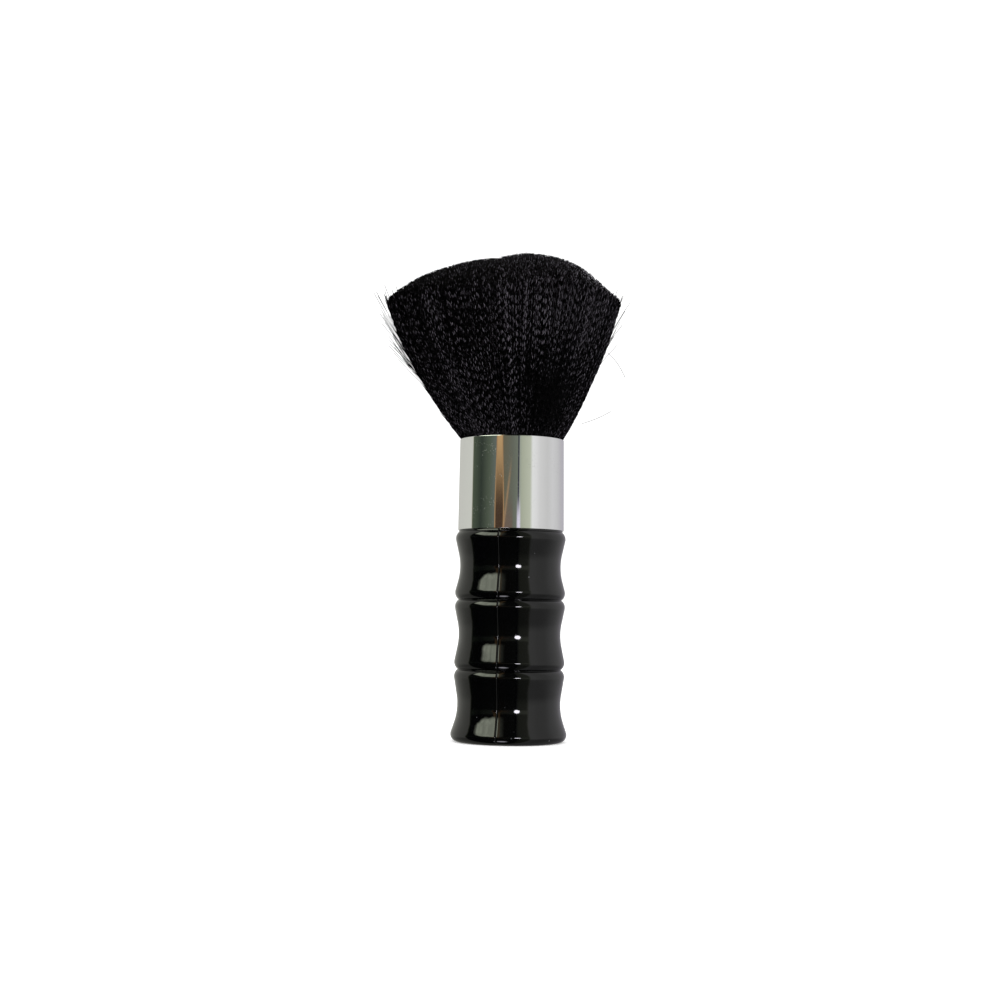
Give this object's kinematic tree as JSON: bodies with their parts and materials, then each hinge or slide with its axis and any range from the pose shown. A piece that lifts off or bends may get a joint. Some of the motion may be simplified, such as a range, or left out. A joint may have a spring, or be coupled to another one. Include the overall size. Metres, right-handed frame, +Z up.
{
  "type": "neck duster brush",
  "caption": "Free-standing round duster brush: flared, domed tuft of dark crimped filaments in a bright metal ferrule on a segmented glossy handle.",
  "frame": {"origin": "centre of the foot, on the flat face that the brush stands on", "axes": "+Z up the brush axis towards the tuft, +Y away from the side that shows one parting seam left of its middle, +X to the right of that side"},
  "size_m": [0.082, 0.082, 0.1696],
  "materials": {
    "handle_plastic": "polished black moulded plastic",
    "ferrule_metal": "mirror polished",
    "spacer_board": "plain pressed board",
    "resin": "set resin",
    "plug_wood": "plain turned wood",
    "filament": "crimped black filaments, slightly glossy"
  },
  "bodies": {
    "root": {"handle_left_shell": "handle_plastic", "handle_right_shell": "handle_plastic", "ferrule": "ferrule_metal", "ferrule_spacer": "spacer_board", "root_resin": "resin", "spreader_plug": "plug_wood", "bristle_tuft": "filament"}
  },
  "joints": []
}
